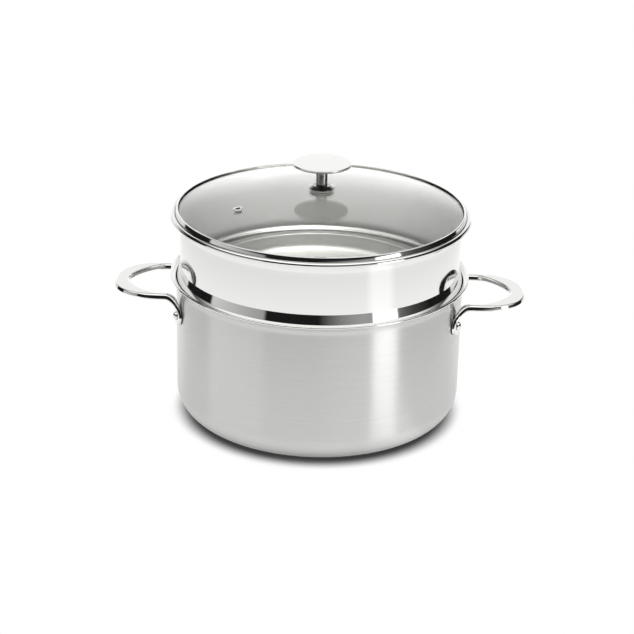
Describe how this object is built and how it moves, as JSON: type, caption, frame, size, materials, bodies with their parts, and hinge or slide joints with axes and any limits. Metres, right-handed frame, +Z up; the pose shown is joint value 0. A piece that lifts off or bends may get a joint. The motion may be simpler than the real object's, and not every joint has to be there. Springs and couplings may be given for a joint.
{
  "type": "steamer pot",
  "caption": "Tiered stovetop steamer: a steel pot with riveted loop handles, a perforated steamer that hangs in its flared mouth, and a domed glass lid with a disc knob.",
  "frame": {"origin": "centre of the pot's underside, on the surface that it stands on", "axes": "+Z up along the pot's axis, +X through the right handle, and the front faces -Y"},
  "size_m": [0.35, 0.2548, 0.2226],
  "materials": {
    "brushed_steel": "stainless steel, brushed round the body",
    "satin_steel": "stainless steel, fine satin",
    "polished_steel": "stainless steel, mirror polished",
    "aluminium_core": "plain, closed in the base",
    "tempered_glass": "clear, polished",
    "silicone": "translucent silicone"
  },
  "bodies": {
    "pot": {"pot_body": "brushed_steel", "base_heat_core": "aluminium_core", "base_cap": "brushed_steel", "handle_right": "polished_steel", "handle_left": "polished_steel", "rivet_right_front": "polished_steel", "rivet_right_rear": "polished_steel", "rivet_left_front": "polished_steel", "rivet_left_rear": "polished_steel"},
    "steamer": {"steamer_wall": "polished_steel", "steaming_tray": "satin_steel"},
    "lid": {"lid_glass": "tempered_glass", "lid_rim_band": "polished_steel", "vent_eyelet": "polished_steel", "knob_gasket": "silicone", "knob_flange": "polished_steel", "knob_stem": "polished_steel", "knob_disc": "satin_steel", "under_glass_gasket": "silicone", "under_glass_washer": "polished_steel", "knob_screw": "polished_steel"}
  },
  "joints": [
    {"name": "steamer_lift", "type": "slide", "parent": "pot", "child": "steamer", "axis": [0, 0, 1], "range_m": [0, 0.12]},
    {"name": "lid_lift", "type": "slide", "parent": "steamer", "child": "lid", "axis": [0, 0, 1], "range_m": [0, 0.12]}
  ]
}
